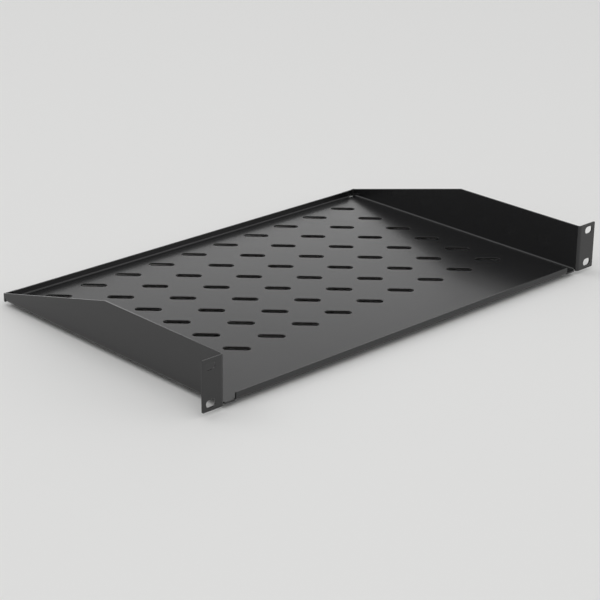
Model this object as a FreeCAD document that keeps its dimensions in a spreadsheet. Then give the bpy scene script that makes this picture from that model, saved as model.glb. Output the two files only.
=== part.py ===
import FreeCAD, Part
import os
import Sketcher

# Vented cantilever shelf for a 19 inch rack, one rack unit high, punched and folded from one sheet
# of steel. Millimetres, +Z up, the ears face -Y. The origin is midway between the ears and midway
# between front and rear, on the level of the tray's underside.

SIZES = {
    # sheet and folds
    "sheet": 1.5,              # thickness of the steel
    "bend": 1.5,               # inside radius of every fold
    "relief": 0.5,             # slits that free the ends of a fold
    "free_corner": 1.0,        # radius on the corners of the ears, lip, rear flange and tabs
    # overall
    "panel_width": 482.6,      # over both ears, the width of a 19 inch panel
    "panel_height": 44.45,     # ears and side walls, a full rack unit
    "shelf_depth": 297.5,      # front face of the ears to outer face of the rear tabs
    # ears, each from the outer face of a side wall
    "ear_width": 21.1,
    "hole_end": 8.75,          # end of the ear to the middle of a screw slot
    "hole_edge": 6.35,         # top or bottom of the ear to the middle of a screw slot
    "hole_length": 10.0,
    "hole_width": 6.8,
    # side walls
    "level_run": 148.0,        # front face of the ears to where the wall's top starts to fall
    "rear_rise": 7.8,          # rear end of the walls
    # rear tabs, folded in from the walls behind the ends of the rear flange
    "tab_reach": 16.0,         # from the wall's outer face
    "tab_rise": 6.9,
    "tab_gap": 0.3,            # between a tab and the flange
    # rear flange
    "flange_rise": 7.5,        # top of the rear flange above the tray's underside
    "flange_end": 9.7,         # outer face of the wall to the end of the flange
    # front lip and the tray's front corners
    "lip_rise": 7.0,           # top of the lip above the tray's underside
    "lip_inset": 14.5,         # outer face of the wall to the end of the lip
    "lip_setback": 1.0,        # lip behind the front face of the ears
    "corner_setback": 1.5,     # tray's front corners behind the front face of the ears
    "corner_notch": 3.5,       # notch between tray and ear, from the wall's outer face
    # vent slots in the tray, as many as fit
    "vent_length": 24.0,
    "vent_width": 7.6,
    "vent_turn": 45.0,         # degrees from the front edge, all slots slant the same way
    "vent_pitch_x": 39.7,
    "vent_pitch_y": 39.0,
    "vent_rear": 27.2,         # outer face of the tabs to the middle of the last row
    "vent_front": 70.0,        # least from the front face of the ears to the middle of a row
    "vent_side": 40.0,         # least from the outer face of a wall to the middle of a column
}

# What follows from those sizes.
RULES = {
    "fold": "=sheet + bend",                            # outside radius of every fold
    "wall_x": "=panel_width / 2 - ear_width",           # outer face of a side wall
    "wall_start": "=fold + relief",                     # front end of the wall's own fold
    "wall_end": "=shelf_depth - fold",                  # rear end of the wall's upright side
    "flange_inset": "=sheet + tab_gap",                 # flange in front of the tabs
    "tray_end": "=wall_end - flange_inset",             # rear end of the flat tray and the walls' folds
    "ear_reach": "=ear_width + sheet",                  # from the wall's inner face to the ear's end
    "hole_span_x": "=panel_width - 2 * hole_end",
    "hole_span_z": "=panel_height - 2 * hole_edge",
    "lip_half": "=wall_x - lip_inset",
    "flange_half": "=wall_x - flange_end",
    "front_y": "=-shelf_depth / 2",
    "rear_y": "=shelf_depth / 2",
    "vent_columns": "=floor((2 * wall_x - 2 * vent_side) / vent_pitch_x) + 1",
    "vent_rows": "=floor((shelf_depth - vent_rear - vent_front) / vent_pitch_y) + 1",
}


def makeSizes(doc):
    sheet = doc.addObject("Spreadsheet::Sheet", "Sizes")
    cells = list(SIZES.items()) + list(RULES.items())
    for row, (name, content) in enumerate(cells, start=1):
        sheet.set("A%d" % row, name)
        sheet.set("B%d" % row, str(content))
        sheet.setAlias("B%d" % row, name)
    doc.recompute()


def originFeature(body, role):
    return next(item for item in body.Origin.OriginFeatures if item.Role == role)


# A sketch on one of the body's origin planes, moved by rules along its own x, y and z.
# These are X, Y, Z on XY_Plane, X, Z, -Y on XZ_Plane and Y, Z, X on YZ_Plane.
def addSketch(body, name, role, **moves):
    sketch = body.newObject("Sketcher::SketchObject", name)
    sketch.AttachmentSupport = [(originFeature(body, role), "")]
    sketch.MapMode = "FlatFace"
    for axis, rule in moves.items():
        sketch.setExpression("AttachmentOffset.Base." + axis, rule)
    return sketch


def evaluate(sketch, *rules):
    return [float(sketch.evalExpression(rule)) for rule in rules]


# A named dimension that follows a rule on the sheet's sizes.
def addDimension(sketch, kind, name, rule, *places):
    value = evaluate(sketch, rule)[0]
    index = sketch.addConstraint(Sketcher.Constraint(kind, *places, value))
    sketch.renameConstraint(index, name)
    sketch.setExpression("Constraints." + name, rule)


def addConstraints(sketch, kind, *places):
    for place in places:
        sketch.addConstraint(Sketcher.Constraint(kind, *place))


# Straight edges that were drawn level or upright stay so.
def keepSquare(sketch, *lines):
    for line in lines:
        run = sketch.Geometry[line].EndPoint - sketch.Geometry[line].StartPoint
        addConstraints(sketch, "Horizontal" if abs(run.x) > abs(run.y) else "Vertical", (line,))


def drawOutline(sketch, points):
    last = len(points) - 1
    for i, point in enumerate(points):
        sketch.addGeometry(Part.LineSegment(point, points[0 if i == last else i + 1]), False)
    for i in range(len(points)):
        addConstraints(sketch, "Coincident", (i, 2, 0 if i == last else i + 1, 1))


# A rectangle centred on the sketch's y axis.
def drawStrip(sketch, halfWidth, start, end):
    x, y1, y2 = evaluate(sketch, halfWidth, start, end)
    drawOutline(sketch, [FreeCAD.Vector(-x, y1), FreeCAD.Vector(x, y1),
                         FreeCAD.Vector(x, y2), FreeCAD.Vector(-x, y2)])
    keepSquare(sketch, 1, 2, 3)
    addConstraints(sketch, "Symmetric", (0, 1, 0, 2, -2))
    addDimension(sketch, "DistanceX", "halfWidth", halfWidth, -1, 1, 0, 2)
    addDimension(sketch, "DistanceY", "start", start, -1, 1, 0, 2)
    addDimension(sketch, "DistanceY", "end", end, -1, 1, 2, 1)


# Section through one fold of the sheet: two legs joined by concentric arcs. Its outer faces would
# meet at the sketch's origin. A leg is its direction there and the rule for its length.
def drawFold(sketch, firstWay, firstLength, secondWay, secondLength):
    a, b = FreeCAD.Vector(*firstWay), FreeCAD.Vector(*secondWay)
    first, second, outer, inner, sheet = evaluate(
        sketch, firstLength, secondLength, "Sizes.fold", "Sizes.bend", "Sizes.sheet")
    centre = (a + b) * outer
    middle = FreeCAD.Vector(a + b).normalize()
    p = [a * first, a * outer, b * outer, b * second,
         b * second + a * sheet, b * outer + a * sheet, a * outer + b * sheet, a * first + b * sheet]
    sketch.addGeometry([
        Part.LineSegment(p[0], p[1]), Part.Arc(p[1], centre - middle * outer, p[2]),
        Part.LineSegment(p[2], p[3]), Part.LineSegment(p[3], p[4]),
        Part.LineSegment(p[4], p[5]), Part.Arc(p[5], centre - middle * inner, p[6]),
        Part.LineSegment(p[6], p[7]), Part.LineSegment(p[7], p[0])], False)

    # an arc drawn clockwise is stored the other way round, so its ends are looked up
    def arcEnd(arc, point):
        return 1 if sketch.getPoint(arc, 1).isEqual(point, 1e-6) else 2

    addConstraints(sketch, "Tangent", (0, 2, 1, arcEnd(1, p[1])), (2, 1, 1, arcEnd(1, p[2])),
                   (4, 2, 5, arcEnd(5, p[5])), (6, 1, 5, arcEnd(5, p[6])))
    addConstraints(sketch, "Coincident", (2, 2, 3, 1), (3, 2, 4, 1), (6, 2, 7, 1), (7, 2, 0, 1),
                   (1, 3, 5, 3))
    keepSquare(sketch, 0, 2, 3, 4, 6, 7)
    levelAxis, uprightAxis = -1, -2
    addConstraints(sketch, "PointOnObject", (0, 1, levelAxis if a.y == 0 else uprightAxis),
                   (2, 2, levelAxis if b.y == 0 else uprightAxis))
    addDimension(sketch, "Radius", "insideRadius", "Sizes.bend", 5)
    addDimension(sketch, "Distance", "thickness", "Sizes.sheet", 3)
    addDimension(sketch, "Distance", "firstLeg", firstLength, -1, 1, 0, 1)
    addDimension(sketch, "Distance", "secondLeg", secondLength, -1, 1, 2, 2)


# A slot with round ends, centred on the sketch's origin and lying along its x axis.
def drawSlot(sketch, length, width):
    reach, radius = evaluate(sketch, "(%s - %s) / 2" % (length, width), width + " / 2")
    across, up, out = FreeCAD.Vector(reach, 0), FreeCAD.Vector(0, radius), FreeCAD.Vector(radius, 0)
    sketch.addGeometry([
        Part.LineSegment(-across - up, across - up),
        Part.Arc(across - up, across + out, across + up),
        Part.LineSegment(across + up, -across + up),
        Part.Arc(-across + up, -across - out, -across - up)], False)
    addConstraints(sketch, "Tangent", (0, 2, 1, 1), (1, 2, 2, 1), (2, 2, 3, 1), (3, 2, 0, 1))
    addConstraints(sketch, "Equal", (1, 3))
    addConstraints(sketch, "Symmetric", (1, 3, 3, 3, -1, 1))
    keepSquare(sketch, 0)
    addDimension(sketch, "Radius", "endRadius", width + " / 2", 1)
    addDimension(sketch, "DistanceX", "centres", "%s - %s" % (length, width), 3, 3, 1, 3)


# A Pad or a Pocket of a sketch. A length of None cuts or adds through everything.
def addFeature(body, kind, name, sketch, length=None, reverse=False, bothWays=False):
    feature = body.newObject("PartDesign::" + kind, name)
    feature.Profile = sketch
    feature.Reversed = reverse
    if bothWays:
        feature.SideType = "Symmetric"
    if length is None:
        feature.Type = "ThroughAll"
    else:
        feature.setExpression("Length", length)
    return feature


# Copies of a feature along X and along a second axis, from the one that is drawn to the far corner.
def addGrid(body, name, feature, columns, spanX, rows, secondAxis, secondSpan):
    pattern = body.newObject("PartDesign::LinearPattern", name)
    pattern.Originals = [feature]
    pattern.Direction = (originFeature(body, "X_Axis"), [""])
    pattern.setExpression("Length", spanX)
    pattern.setExpression("Occurrences", columns)
    pattern.Direction2 = (originFeature(body, secondAxis), [""])
    pattern.setExpression("Length2", secondSpan)
    pattern.setExpression("Occurrences2", rows)
    body.Tip = pattern


# Flat tray between the folds, with the opening that the front lip's fold fills.
def addTray(body):
    plate = addSketch(body, "TraySketch", "XY_Plane", y="Sizes.front_y")
    drawStrip(plate, "Sizes.wall_x - Sizes.corner_notch", "Sizes.corner_setback", "Sizes.tray_end")
    addFeature(body, "Pad", "Tray", plate, "Sizes.sheet")
    mouth = addSketch(body, "LipOpeningSketch", "XY_Plane", y="Sizes.front_y")
    # it starts half way to the tray's front edge, so that the cut is open there
    drawStrip(mouth, "Sizes.lip_half + Sizes.relief", "Sizes.corner_setback / 2",
              "Sizes.lip_setback + Sizes.wall_start")
    addFeature(body, "Pocket", "LipOpening", mouth, bothWays=True)


# Right side wall: folded up from the tray, along the flat part of its edge.
def addWall(body):
    section = addSketch(body, "WallSketch", "XZ_Plane", x="Sizes.wall_x",
                        z="Sizes.rear_y - Sizes.wall_start")
    drawFold(section, (-1, 0), "Sizes.corner_notch", (0, 1), "Sizes.panel_height")
    return addFeature(body, "Pad", "Wall", section, "Sizes.tray_end - Sizes.wall_start", reverse=True)


# Slit that frees the foot of an upright fold from the wall's own fold.
def addSlit(body, name, start):
    slit = addSketch(body, name + "Sketch", "YZ_Plane", x=start, z="Sizes.wall_x - Sizes.corner_notch")
    width, height = evaluate(slit, "Sizes.relief", "Sizes.wall_start")
    drawOutline(slit, [FreeCAD.Vector(0, 0), FreeCAD.Vector(width, 0),
                       FreeCAD.Vector(width, height), FreeCAD.Vector(0, height)])
    keepSquare(slit, 0, 1, 2, 3)
    addConstraints(slit, "Coincident", (0, 1, -1, 1))
    addDimension(slit, "DistanceX", "width", "Sizes.relief", 0)
    addDimension(slit, "DistanceY", "height", "Sizes.wall_start", 1)
    return addFeature(body, "Pocket", name, slit, reverse=True)


# Right ear: folded out from the wall's front end.
def addEar(body):
    section = addSketch(body, "EarSketch", "XY_Plane", x="Sizes.wall_x - Sizes.sheet", y="Sizes.front_y")
    drawFold(section, (0, 1), "Sizes.wall_start", (1, 0), "Sizes.ear_reach")
    ear = addFeature(body, "Pad", "Ear", section, "Sizes.panel_height")
    return [ear, addSlit(body, "EarSlit", "Sizes.front_y + Sizes.fold")]


# Right rear tab: folded in from the wall's rear end, as high as the wall until that is cut.
def addTab(body):
    section = addSketch(body, "TabSketch", "XY_Plane", x="Sizes.wall_x", y="Sizes.rear_y")
    drawFold(section, (0, -1), "Sizes.fold + Sizes.flange_inset", (-1, 0), "Sizes.tab_reach")
    tab = addFeature(body, "Pad", "Tab", section, "Sizes.panel_height")
    return [tab, addSlit(body, "TabSlit", "Sizes.front_y + Sizes.tray_end")]


# The wall's top is level in front and falls to the tab, whose top falls on round the fold.
def addFall(body):
    side = addSketch(body, "WallFallSketch", "YZ_Plane", x="Sizes.front_y")
    knee, end, back, top, low = evaluate(side, "Sizes.level_run", "Sizes.wall_end", "Sizes.shelf_depth",
                                         "Sizes.panel_height", "Sizes.rear_rise")
    drawOutline(side, [FreeCAD.Vector(knee, top), FreeCAD.Vector(end, low), FreeCAD.Vector(back, low),
                       FreeCAD.Vector(back, top)])
    keepSquare(side, 1, 2, 3)
    addDimension(side, "DistanceX", "levelRun", "Sizes.level_run", -1, 1, 0, 1)
    addDimension(side, "DistanceY", "top", "Sizes.panel_height", -1, 1, 0, 1)
    addDimension(side, "DistanceX", "wallEnd", "Sizes.wall_end", -1, 1, 1, 1)
    addDimension(side, "DistanceY", "rearRise", "Sizes.rear_rise", -1, 1, 1, 1)
    addDimension(side, "DistanceX", "rearEnd", "Sizes.shelf_depth", -1, 1, 2, 1)
    wallFall = addFeature(body, "Pocket", "WallFall", side, reverse=True)

    rear = addSketch(body, "TabFallSketch", "XZ_Plane", x="Sizes.wall_x", z="Sizes.front_y + Sizes.fold")
    fold, reach, low, top = evaluate(rear, "-Sizes.fold", "-Sizes.tab_reach", "Sizes.tab_rise",
                                     "Sizes.rear_rise")
    drawOutline(rear, [FreeCAD.Vector(0, top), FreeCAD.Vector(fold, low), FreeCAD.Vector(reach, low),
                       FreeCAD.Vector(reach, top)])
    keepSquare(rear, 1, 2, 3)
    addConstraints(rear, "PointOnObject", (0, 1, -2))
    addDimension(rear, "DistanceY", "rearRise", "Sizes.rear_rise", -1, 1, 0, 1)
    addDimension(rear, "DistanceX", "fold", "Sizes.fold", 1, 1, -1, 1)
    addDimension(rear, "DistanceY", "tabRise", "Sizes.tab_rise", -1, 1, 1, 1)
    addDimension(rear, "DistanceX", "reach", "Sizes.tab_reach", 2, 1, -1, 1)
    tabFall = addFeature(body, "Pocket", "TabFall", rear)
    return [wallFall, tabFall]


def addRearFlange(body):
    section = addSketch(body, "RearFlangeSketch", "YZ_Plane", x="Sizes.rear_y - Sizes.flange_inset")
    drawFold(section, (-1, 0), "Sizes.wall_start", (0, 1), "Sizes.flange_rise")
    addFeature(body, "Pad", "RearFlange", section, "2 * Sizes.flange_half", bothWays=True)


def addFrontLip(body):
    section = addSketch(body, "FrontLipSketch", "YZ_Plane", x="Sizes.front_y + Sizes.lip_setback")
    drawFold(section, (1, 0), "Sizes.wall_start", (0, 1), "Sizes.lip_rise")
    addFeature(body, "Pad", "FrontLip", section, "2 * Sizes.lip_half", bothWays=True)


# Slanted vent slots in a grid that is centred on the tray's width.
def addVents(body):
    spanX = "(Sizes.vent_columns - 1) * Sizes.vent_pitch_x"
    spanY = "(Sizes.vent_rows - 1) * Sizes.vent_pitch_y"
    slot = addSketch(body, "VentSketch", "XY_Plane")
    slot.AttachmentOffset = FreeCAD.Placement(
        FreeCAD.Vector(), FreeCAD.Rotation(FreeCAD.Vector(0, 0, -1), SIZES["vent_turn"]))
    slot.setExpression("AttachmentOffset.Rotation.Angle", "Sizes.vent_turn")
    slot.setExpression("AttachmentOffset.Base.x", "-%s / 2" % spanX)
    slot.setExpression("AttachmentOffset.Base.y", "Sizes.rear_y - Sizes.vent_rear - " + spanY)
    drawSlot(slot, "Sizes.vent_length", "Sizes.vent_width")
    vent = addFeature(body, "Pocket", "Vent", slot, bothWays=True)
    addGrid(body, "Vents", vent, "Sizes.vent_columns", spanX, "Sizes.vent_rows", "Y_Axis", spanY)


# Level screw slots, two in each ear: 465.1 mm by 31.75 mm apart, as the outer holes of one unit are.
def addEarHoles(body):
    slot = addSketch(body, "EarHoleSketch", "XZ_Plane", x="-Sizes.hole_span_x / 2",
                     y="Sizes.hole_edge", z="Sizes.rear_y")
    drawSlot(slot, "Sizes.hole_length", "Sizes.hole_width")
    hole = addFeature(body, "Pocket", "EarHole", slot, "Sizes.fold")
    addGrid(body, "EarHoles", hole, "2", "Sizes.hole_span_x", "2", "Z_Axis", "Sizes.hole_span_z")


# The free corners of the folded edges are rounded. Each is a short edge through the sheet: along Y
# at the height of its edge's end, at the given distance from the middle.
def addCorners(body):
    doc.recompute()
    ends = [("Sizes.panel_width / 2", "0"), ("Sizes.panel_width / 2", "Sizes.panel_height"),
            ("Sizes.lip_half", "Sizes.lip_rise"), ("Sizes.flange_half", "Sizes.flange_rise"),
            ("Sizes.wall_x - Sizes.tab_reach", "Sizes.tab_rise")]
    places = [[float(body.evalExpression(rule)) for rule in end] for end in ends]
    sharp = body.Tip
    names = []
    for number, edge in enumerate(sharp.Shape.Edges, start=1):
        a, b = edge.Vertexes[0].Point, edge.Vertexes[-1].Point
        throughSheet = abs(a.x - b.x) < 1e-6 and abs(a.z - b.z) < 1e-6 and abs(a.y - b.y) > 1e-6
        atEnd = any(abs(abs(a.x) - x) < 1e-4 and abs(a.z - z) < 1e-4 for x, z in places)
        if throughSheet and atEnd:
            names.append("Edge%d" % number)
    rounding = body.newObject("PartDesign::Fillet", "Corners")
    rounding.Base = (sharp, names)
    rounding.setExpression("Radius", "Sizes.free_corner")


def addShelf(doc):
    body = doc.addObject("PartDesign::Body", "Shelf")
    body.Label = "shelf"
    addTray(body)
    oneSide = [addWall(body)] + addEar(body) + addTab(body) + addFall(body)
    doc.recompute()
    mirror = body.newObject("PartDesign::Mirrored", "OtherSide")
    mirror.Originals = oneSide
    mirror.MirrorPlane = (originFeature(body, "YZ_Plane"), [""])
    body.Tip = mirror
    addRearFlange(body)
    addFrontLip(body)
    addVents(body)
    addEarHoles(body)
    addCorners(body)
    return body


doc = FreeCAD.newDocument("RackShelf")
makeSizes(doc)
parts = [addShelf(doc)]
doc.recompute()

for item in doc.Objects:
    if "Invalid" in item.State or "Error" in item.State:
        raise RuntimeError("%s failed: %s" % (item.Name, item.State))
    if item.TypeId == "Sketcher::SketchObject" and not item.FullyConstrained:
        raise RuntimeError(item.Name + " is not fully constrained")

os.makedirs("parts", exist_ok=True)
for part in parts:
    shape = part.Shape
    if shape.isNull() or not shape.isValid():
        raise RuntimeError(part.Label + " has no valid shape")
    shape.exportStep("parts/%s.step" % part.Label)
    box = shape.BoundBox
    print("%s: %d solid, volume %.1f mm3, box %.2f..%.2f, %.2f..%.2f, %.2f..%.2f" % (
        part.Label, len(shape.Solids), shape.Volume,
        box.XMin, box.XMax, box.YMin, box.YMax, box.ZMin, box.ZMax))
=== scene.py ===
import math

import bmesh
import bpy
from mathutils import Matrix, Vector


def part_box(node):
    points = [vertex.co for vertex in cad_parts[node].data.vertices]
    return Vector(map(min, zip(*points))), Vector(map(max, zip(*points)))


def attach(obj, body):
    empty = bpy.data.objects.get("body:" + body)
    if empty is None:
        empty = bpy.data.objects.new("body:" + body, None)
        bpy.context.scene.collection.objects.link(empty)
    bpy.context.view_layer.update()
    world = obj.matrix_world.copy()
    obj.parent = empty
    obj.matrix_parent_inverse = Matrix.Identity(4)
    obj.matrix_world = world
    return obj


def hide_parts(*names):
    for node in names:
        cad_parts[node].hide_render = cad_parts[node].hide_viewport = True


# A vented cantilever shelf for a 19 inch rack, folded from one steel sheet, in a plain studio.
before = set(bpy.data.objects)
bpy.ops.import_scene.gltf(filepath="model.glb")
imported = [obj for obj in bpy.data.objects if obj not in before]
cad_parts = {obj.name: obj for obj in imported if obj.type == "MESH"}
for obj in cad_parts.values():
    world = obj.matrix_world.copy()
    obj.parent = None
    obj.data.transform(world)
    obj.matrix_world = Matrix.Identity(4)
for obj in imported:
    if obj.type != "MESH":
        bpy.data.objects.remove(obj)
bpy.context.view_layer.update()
low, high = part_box("shelf")
mm = 0.001
print("frame loaded: shelf %.1f x %.1f x %.2f mm" % tuple((high - low) / mm))


# sRGB hex to linear
def linear(hexColour):
    channels = [int(hexColour[i:i + 2], 16) / 255 for i in (1, 3, 5)]
    return [c / 12.92 if c <= 0.04045 else ((c + 0.055) / 1.055) ** 2.4 for c in channels] + [1.0]


# one node: its settings by name, its inputs as values or as sockets to link from
def addNode(tree, kind, inputs=None, **settings):
    node = tree.nodes.new(kind)
    for name, value in settings.items():
        setattr(node, name, value)
    for name, value in (inputs or {}).items():
        if isinstance(value, bpy.types.NodeSocket):
            tree.links.new(value, node.inputs[name])
        else:
            node.inputs[name].default_value = value
    return node


def newMaterial(name):
    material = bpy.data.materials.new(name)
    material.use_nodes = True
    material.node_tree.nodes.clear()
    return material, material.node_tree


def newObject(name, data):
    holder = bpy.data.objects.new(name, data)
    bpy.context.scene.collection.objects.link(holder)
    return holder


quarter = math.pi / 2
xAxis, yAxis, zAxis = Vector((1, 0, 0)), Vector((0, 1, 0)), Vector((0, 0, 1))

# millimetres, and degrees for angles
shelf = {
    "sheet": 1.5,
    "bend": 1.5,              # inside radius of every fold
    "relief": 0.5,            # slits that free the ends of a fold
    "freeCorner": 1.0,        # radius on the corners of ears, lip, rear flange and tabs
    "earWidth": 21.1,         # wall's outer face to the end of the ear
    "levelRun": 148.0,        # ears' front face to where the wall's top starts to fall
    "rearRise": 7.8,          # rear end of the walls
    "tabReach": 16.0,         # tab folded in from the wall's rear end, from its outer face
    "tabRise": 6.9,
    "tabGap": 0.3,            # between a tab and the rear flange in front of it
    "flangeRise": 7.5,
    "flangeEnd": 9.7,         # wall's outer face to the end of the rear flange
    "lipRise": 7.0,
    "lipInset": 14.5,         # wall's outer face to the end of the lip
    "lipSetback": 1.0,        # lip behind the ears' front face
    "cornerSetback": 1.5,     # tray's front corners behind the ears' front face
    "cornerNotch": 3.5,       # notch between tray and ear, from the wall's outer face
    "foldSteps": 10,          # facets round a fold
    "cornerSteps": 4,
    "rimStrip": 0.6,          # strip of faces along a rim, so that its rounding stays clean
    "edgeRound": 0.22,        # punched edges, rounded by the press and filled by the coat
    "edgeSteps": 3,
    "edgeTurn": 50,           # an edge is a punched one where its faces turn by more than this
    "slack": 0.001,           # how near a line still counts as on it
}
vents = {
    "length": 24.0,
    "width": 7.6,
    "turn": -45.0,            # at 0 a slot lies from side to side of the tray
    "columns": 10,
    "rows": 6,
    "pitchX": 39.7,
    "pitchY": 39.0,
    "rear": 27.2,             # last row's centres to the tabs' outer face
    "collar": 1.0,            # ring of faces round a slot, so that its rounding stays clean
    "steps": 14,              # facets round a slot's end
}
screwSlots = {
    "length": 10.0,
    "width": 6.8,
    "end": 8.75,              # centre to the end of the ear
    "edge": 6.35,             # centre to the ear's upper or lower edge
    "collar": 1.0,
    "steps": 14,
}

# the outer faces, the ends of lip and flange, and the lines where folds and slits begin
endX, frontY, rearY, top = high.x / mm, low.y / mm, high.y / mm, high.z / mm
fold = shelf["sheet"] + shelf["bend"]
wallX = endX - shelf["earWidth"]
foldX = wallX - fold
notchX = wallX - shelf["cornerNotch"]
lipX = wallX - shelf["lipInset"]
flangeX = wallX - shelf["flangeEnd"]
frontLine = frontY + fold
lipLine = frontLine + shelf["lipSetback"]
trayFront = frontY + shelf["cornerSetback"]
rearLine = rearY - fold
trayEnd = rearLine - shelf["sheet"] - shelf["tabGap"]
frontSlit, rearSlit = frontLine + shelf["relief"], trayEnd + shelf["relief"]
slitTop = fold + shelf["relief"]

# the wall's top is level up to the knee and then falls
knee = Vector((0, frontY + shelf["levelRun"], top))
fall = Vector((0, rearLine, shelf["rearRise"])) - knee


def near(value, wanted):
    return abs(value - wanted) < shelf["slack"]


# every edge that can be reached from a vertex
def edgesFrom(vert):
    found, waiting = [], [vert]
    while waiting:
        for edge in waiting.pop().link_edges:
            if edge not in found:
                found.append(edge)
                waiting.extend(edge.verts)
    return found


# free edges whose ends all lie inside the given ranges; a single number is a range of its own
def freeEdges(bm, x=None, y=None, z=None):
    def within(value, wanted):
        least, most = wanted if isinstance(wanted, tuple) else (wanted, wanted)
        return least - shelf["slack"] <= value <= most + shelf["slack"]

    limits = [(i, wanted) for i, wanted in enumerate((x, y, z)) if wanted is not None]
    return [e for e in bm.edges if not e.is_manifold
            and all(within(v.co[i], wanted) for v in e.verts for i, wanted in limits)]


# a slot's round-ended rim with a collar of faces; returns the collar's outer edges
def addSlot(bm, sizes, place):
    reach = (sizes["length"] - sizes["width"]) / 2
    rims = []
    for radius in (sizes["width"] / 2, sizes["width"] / 2 + sizes["collar"]):
        ends = []
        for side in (1, -1):
            first = bm.verts.new((side * reach, -side * radius, 0))
            arc = bmesh.ops.spin(bm, geom=[first], cent=(side * reach, 0, 0), axis=zAxis,
                                 angle=math.pi, steps=sizes["steps"])
            last = next(g for g in arc["geom_last"] if isinstance(g, bmesh.types.BMVert))
            ends += [first, last]
        # the straight sides between the two round ends
        bm.edges.new((ends[1], ends[2]))
        bm.edges.new((ends[3], ends[0]))
        rims.append(edgesFrom(ends[0]))
    inner, outer = rims
    bmesh.ops.transform(bm, matrix=place, verts=list({v for e in inner + outer for v in e.verts}))
    bmesh.ops.bridge_loops(bm, edges=inner + outer)
    return outer


# punches slots in a flat face, after a strip along its rim has been set apart
def punch(bm, face, sizes, places):
    bmesh.ops.inset_individual(bm, faces=[face], thickness=shelf["rimStrip"], use_even_offset=True)
    border, normal = list(face.edges), face.normal.copy()
    bmesh.ops.delete(bm, geom=[face], context="FACES_ONLY")
    for place in places:
        border += addSlot(bm, sizes, place)
    bmesh.ops.triangle_fill(bm, use_beauty=True, use_dissolve=False, edges=border, normal=normal)


# draws free edges on in a straight run
def drawOn(bm, edges, run):
    drawn = bmesh.ops.extrude_edge_only(bm, edges=edges)["geom"]
    verts = [g for g in drawn if isinstance(g, bmesh.types.BMVert)]
    bmesh.ops.translate(bm, vec=run, verts=verts)
    return verts


# rolls free edges a quarter turn round an axis, then draws them on
def foldOn(bm, edges, centre, axis, run):
    rolled = bmesh.ops.spin(bm, geom=edges, cent=centre, axis=axis, angle=quarter,
                            steps=shelf["foldSteps"])
    return drawOn(bm, [g for g in rolled["geom_last"] if isinstance(g, bmesh.types.BMEdge)], run)


# draws a wall's end on along it; its top follows the wall's fall; returns the lowest new vertex
def drawAlong(bm, edges, distance):
    verts = drawOn(bm, edges, yAxis * distance)
    highest = max(verts, key=lambda v: v.co.z)
    highest.co.z = min(top, knee.z + (highest.co.y - knee.y) * fall.z / fall.y)
    return min(verts, key=lambda v: v.co.z)


def roundCorners(bm, verts):
    bmesh.ops.bevel(bm, geom=verts, offset=shelf["freeCorner"], offset_type="OFFSET",
                    affect="VERTICES", segments=shelf["cornerSteps"], profile=0.5, material=-1)


# the flat tray, its outline drawn from the lip's end round the front corner and back to the flange's end
def layTray(bm):
    relief = shelf["relief"]
    oneSide = [(lipX, lipLine), (lipX, lipLine + relief), (lipX + relief, lipLine + relief),
               (lipX + relief, trayFront), (notchX, trayFront), (notchX, frontSlit),
               (foldX, frontSlit), (foldX, trayEnd), (flangeX, trayEnd)]
    outline = oneSide + [(-x, y) for x, y in reversed(oneSide)]
    tray = bm.faces.new([bm.verts.new((x, y, 0)) for x, y in outline])
    tray.normal_update()
    firstX = -(vents["columns"] - 1) * vents["pitchX"] / 2
    lastY = rearY - vents["rear"]
    slant = Matrix.Rotation(math.radians(vents["turn"]), 4, "Z")
    places = [Matrix.Translation((firstX + i * vents["pitchX"], lastY - j * vents["pitchY"], 0)) @ slant
              for i in range(vents["columns"]) for j in range(vents["rows"])]
    punch(bm, tray, vents, places)


def foldLipAndFlange(bm):
    lip = foldOn(bm, freeEdges(bm, (-lipX, lipX), lipLine, 0), (0, lipLine, fold),
                 -xAxis, zAxis * (shelf["lipRise"] - fold))
    flange = foldOn(bm, freeEdges(bm, (-flangeX, flangeX), trayEnd, 0), (0, trayEnd, fold),
                    xAxis, zAxis * (shelf["flangeRise"] - fold))
    # the first facet of the flange's fold stays level, and so does the rounding of the rims beside it
    firstRise = fold * (1 - math.cos(quarter / shelf["foldSteps"]))
    for v in bm.verts:
        if v.co.y > trayEnd and v.co.z < firstRise + shelf["slack"]:
            v.co.z = 0
    roundCorners(bm, lip + flange)


# a wall, divided at the top of the slits and cut along its falling top
def foldWall(bm, side):
    foldOn(bm, freeEdges(bm, side * foldX, (frontSlit, trayEnd), 0), (side * foldX, 0, fold),
           -side * yAxis, zAxis * (top - fold))
    for point, normal, cut in ((zAxis * slitTop, zAxis, False), (knee, xAxis.cross(fall), True)):
        faces = [f for f in bm.faces if all(near(v.co.x, side * wallX) for v in f.verts)]
        geom = dict.fromkeys(g for f in faces for g in (f, *f.edges, *f.verts))
        bmesh.ops.bisect_plane(bm, geom=list(geom), plane_co=point, plane_no=normal, clear_outer=cut)


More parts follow.
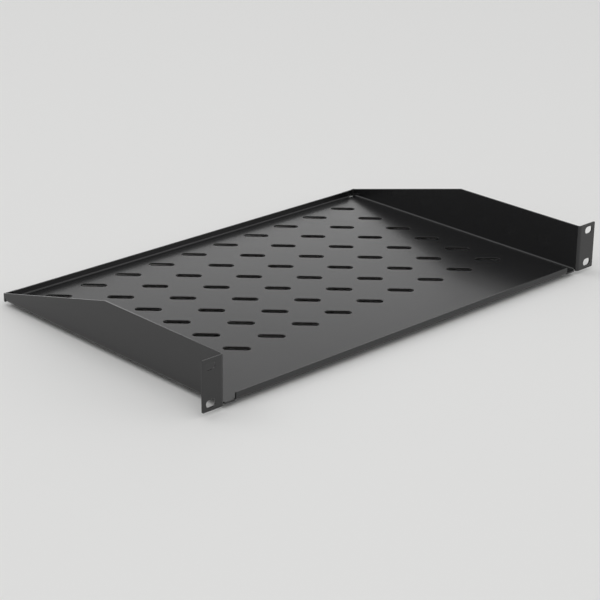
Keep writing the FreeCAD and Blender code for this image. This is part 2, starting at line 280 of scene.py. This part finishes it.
# the strip of wall beside the front slit, and the ear, which reaches down to the tray's underside
def foldEar(bm, side):
    lowest = drawAlong(bm, freeEdges(bm, side * wallX, frontSlit, (slitTop, top)), -shelf["relief"])
    bm.edges.new((bm.verts.new((side * wallX, frontLine, 0)), lowest))
    centre = (side * (wallX + shelf["bend"]), frontLine, 0)
    verts = foldOn(bm, freeEdges(bm, side * wallX, frontLine), centre,
                   side * zAxis, side * xAxis * (shelf["earWidth"] - shelf["bend"]))
    bmesh.ops.dissolve_verts(bm, verts=[v for v in verts if near(v.co.z, slitTop)])

    def outermost():
        return max(bm.faces, key=lambda f: side * f.calc_center_median().x)

    roundCorners(bm, [v for v in outermost().verts if near(v.co.x, side * endX)])
    ear = outermost()
    ear.normal_update()
    stand = Matrix.Rotation(quarter, 4, "X")
    slotX = side * (endX - screwSlots["end"])
    places = [Matrix.Translation((slotX, frontY + shelf["sheet"], z)) @ stand
              for z in (screwSlots["edge"], top - screwSlots["edge"])]
    punch(bm, ear, screwSlots, places)


# the strip beside the rear slit, the end of the wall, and the tab, which passes behind the flange
def foldTab(bm, side):
    lowest = drawAlong(bm, freeEdges(bm, side * wallX, trayEnd, (slitTop, top)), shelf["relief"])
    bm.edges.new((bm.verts.new((side * wallX, rearSlit, 0)), lowest))
    drawAlong(bm, freeEdges(bm, side * wallX, rearSlit), rearLine - rearSlit)
    verts = foldOn(bm, freeEdges(bm, side * wallX, rearLine), (side * foldX, rearLine, 0),
                   side * zAxis, -side * xAxis * (shelf["tabReach"] - fold))
    # the top falls on round the fold, from the wall's height to the tab's
    for v in bm.verts:
        if v.co.y > rearLine and near(v.co.z, shelf["rearRise"]) and v.co.x * side > 0:
            drop = min(1, (wallX - side * v.co.x) / fold)
            v.co.z -= drop * (shelf["rearRise"] - shelf["tabRise"])
    roundCorners(bm, [max(verts, key=lambda v: v.co.z)])


# The mesh is the sheet's outer face: the tray's underside, the walls' outer faces, the ears' backs.
# The sheet's thickness is added on the other side.
def makeShelf():
    bm = bmesh.new()
    layTray(bm)
    foldLipAndFlange(bm)
    for side in (1, -1):
        foldWall(bm, side)
        foldEar(bm, side)
        foldTab(bm, side)

    bmesh.ops.remove_doubles(bm, verts=bm.verts, dist=shelf["slack"] / 2)
    bmesh.ops.recalc_face_normals(bm, faces=bm.faces)
    underside = min(bm.faces, key=lambda f: f.calc_center_median().length)
    if underside.normal.z > 0:
        bmesh.ops.reverse_faces(bm, faces=bm.faces)
    bmesh.ops.scale(bm, vec=(mm, mm, mm), verts=bm.verts)
    for face in bm.faces:
        face.smooth = True
    mesh = bpy.data.meshes.new("foldedShelf")
    bm.to_mesh(mesh)
    bm.free()
    piece = newObject("foldedShelf", mesh)

    sheet = piece.modifiers.new("sheet", "SOLIDIFY")
    sheet.thickness = shelf["sheet"] * mm
    sheet.offset = -1
    sheet.use_even_offset = True
    sheet.use_quality_normals = True
    rounding = piece.modifiers.new("punchedEdges", "BEVEL")
    rounding.width = shelf["edgeRound"] * mm
    rounding.segments = shelf["edgeSteps"]
    rounding.limit_method = "ANGLE"
    rounding.angle_limit = math.radians(shelf["edgeTurn"])
    rounding.use_clamp_overlap = False
    flats = piece.modifiers.new("flatFaces", "WEIGHTED_NORMAL")
    flats.keep_sharp = False
    return piece


powderCoat = {
    "colour": "#181819",      # black pigment, which polyester keeps a little grey
    "ior": 1.6,
    "roughness": 0.25,
    "roughnessDrift": 0.03,   # where the coat is a little thicker or thinner
    "drift": 60.0,            # mm from a thick place to the next
    "driftDetail": 2.0,
    "bump": 0.5,              # how strongly the two patterns below turn the light
    # mm from hump to hump and mm high, then how many finer humps lie on them and how strong they are
    "orangePeel": {"pitch": 2.6, "height": 0.010, "detail": 2.0, "roughness": 0.5},
    # the powder's own sand, coarser than the real 0.1 mm, which would be too fine to show
    "grain": {"pitch": 0.7, "height": 0.006, "detail": 3.0, "roughness": 0.6},
}


# Satin polyester powder coat, sprayed and baked. The powder flows into a fine orange peel, which
# breaks up a reflection's edges and leaves the broad sheen, and its grain dulls the sheen a little.
def makePowderCoat():
    material, tree = newMaterial("satinPowderCoat")
    place = addNode(tree, "ShaderNodeTexCoord").outputs["Object"]
    bump = None
    for pattern in (powderCoat["orangePeel"], powderCoat["grain"]):
        noise = addNode(tree, "ShaderNodeTexNoise", {
            "Vector": place, "Scale": 1 / (pattern["pitch"] * mm),
            "Detail": pattern["detail"], "Roughness": pattern["roughness"]})
        below = {"Normal": bump.outputs["Normal"]} if bump else {}
        bump = addNode(tree, "ShaderNodeBump", {
            "Height": noise.outputs["Fac"], "Strength": powderCoat["bump"],
            "Distance": pattern["height"] * mm, **below})
    cloud = addNode(tree, "ShaderNodeTexNoise", {
        "Vector": place, "Scale": 1 / (powderCoat["drift"] * mm), "Detail": powderCoat["driftDetail"]})
    dull = addNode(tree, "ShaderNodeMapRange", {
        "Value": cloud.outputs["Fac"],
        "To Min": powderCoat["roughness"] - powderCoat["roughnessDrift"],
        "To Max": powderCoat["roughness"] + powderCoat["roughnessDrift"]})
    shader = addNode(tree, "ShaderNodeBsdfPrincipled", {
        "Base Color": linear(powderCoat["colour"]), "IOR": powderCoat["ior"],
        "Roughness": dull.outputs["Result"], "Normal": bump.outputs["Normal"]})
    addNode(tree, "ShaderNodeOutputMaterial", {"Surface": shader.outputs["BSDF"]})
    return material


piece = makeShelf()
print("shelf folded: %d faces before its thickness" % len(piece.data.polygons))
piece.data.materials.append(makePowderCoat())
print("powder coat on")
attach(piece, "root")
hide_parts("shelf")

# metres
studio = {
    "floor": "#eeeeed",
    "floorRoughness": 0.9,
    "floorSpecular": 0.2,
    "floorGap": 0.004,        # the shelf is held this far above the floor, as it hangs in a rack
    "floorSize": 60.0,
    "world": "#ffffff",
    "worldStrength": 0.56,
}
# turn: degrees from the rear towards the right; lift: degrees above level; away and size: metres;
# glow: how bright the box's face is
softboxes = {
    "overhead": {"turn": 0, "lift": 90, "away": 3.5, "size": (3.0, 3.0), "glow": 0.6},
    "rear": {"turn": 42, "lift": 11.5, "away": 4.5, "size": (4.5, 1.2), "glow": 0.95},
    "left": {"turn": -30, "lift": 44, "away": 4.0, "size": (2.2, 1.6), "glow": 0.9},
    "right": {"turn": 136, "lift": 17, "away": 4.0, "size": (2.6, 1.4), "glow": 1.0},
    "front": {"turn": 225, "lift": 55, "away": 4.0, "size": (3.6, 2.2), "glow": 0.8},
}
camera = {
    "aim": (-0.00685, -0.01108, -0.00896),
    "turn": 43.67,            # degrees that it looks towards the right, from straight to the rear
    "down": 21.88,            # degrees that it looks below level
    "roll": 0.61,
    "distance": 1.678,
    "lens": 110.9,            # mm
}


def makeFloor():
    bm = bmesh.new()
    bmesh.ops.create_grid(bm, x_segments=1, y_segments=1, size=studio["floorSize"] / 2)
    bmesh.ops.translate(bm, vec=(0, 0, low.z - studio["floorGap"]), verts=bm.verts)
    mesh = bpy.data.meshes.new("floor")
    bm.to_mesh(mesh)
    bm.free()
    floor = newObject("floor", mesh)
    material, tree = newMaterial("matteFloor")
    shader = addNode(tree, "ShaderNodeBsdfPrincipled", {
        "Base Color": linear(studio["floor"]), "Roughness": studio["floorRoughness"],
        "Specular IOR Level": studio["floorSpecular"]})
    addNode(tree, "ShaderNodeOutputMaterial", {"Surface": shader.outputs["BSDF"]})
    floor.data.materials.append(material)


def makeWorld():
    world = bpy.data.worlds.new("studio")
    bpy.context.scene.world = world
    world.use_nodes = True
    tree = world.node_tree
    tree.nodes.clear()
    sky = addNode(tree, "ShaderNodeBackground", {"Color": linear(studio["world"]),
                                                 "Strength": studio["worldStrength"]})
    addNode(tree, "ShaderNodeOutputWorld", {"Surface": sky.outputs["Background"]})


# each box faces the shelf, and its power follows from its size and glow
def makeSoftboxes():
    faceShelf = Matrix.Rotation(-quarter, 4, "X")
    for name, box in softboxes.items():
        lamp = bpy.data.lights.new(name, "AREA")
        lamp.shape = "RECTANGLE"
        lamp.size, lamp.size_y = box["size"]
        lamp.energy = math.pi * lamp.size * lamp.size_y * box["glow"]
        holder = newObject(name, lamp)
        holder.matrix_world = (Matrix.Rotation(math.radians(-box["turn"]), 4, "Z")
                               @ Matrix.Rotation(math.radians(box["lift"]), 4, "X")
                               @ Matrix.Translation((0, box["away"], 0))
                               @ faceShelf)
        holder.visible_camera = False


def makeCamera():
    lens = bpy.data.cameras.new("camera")
    lens.lens = camera["lens"]
    holder = newObject("camera", lens)
    holder.matrix_world = (Matrix.Translation(camera["aim"])
                           @ Matrix.Rotation(math.radians(-camera["turn"]), 4, "Z")
                           @ Matrix.Rotation(math.radians(90 - camera["down"]), 4, "X")
                           @ Matrix.Rotation(math.radians(camera["roll"]), 4, "Z")
                           @ Matrix.Translation((0, 0, camera["distance"])))
    bpy.context.scene.camera = holder


makeFloor()
makeWorld()
makeSoftboxes()
makeCamera()
bpy.context.scene.view_settings.view_transform = "Standard"
print("studio ready")
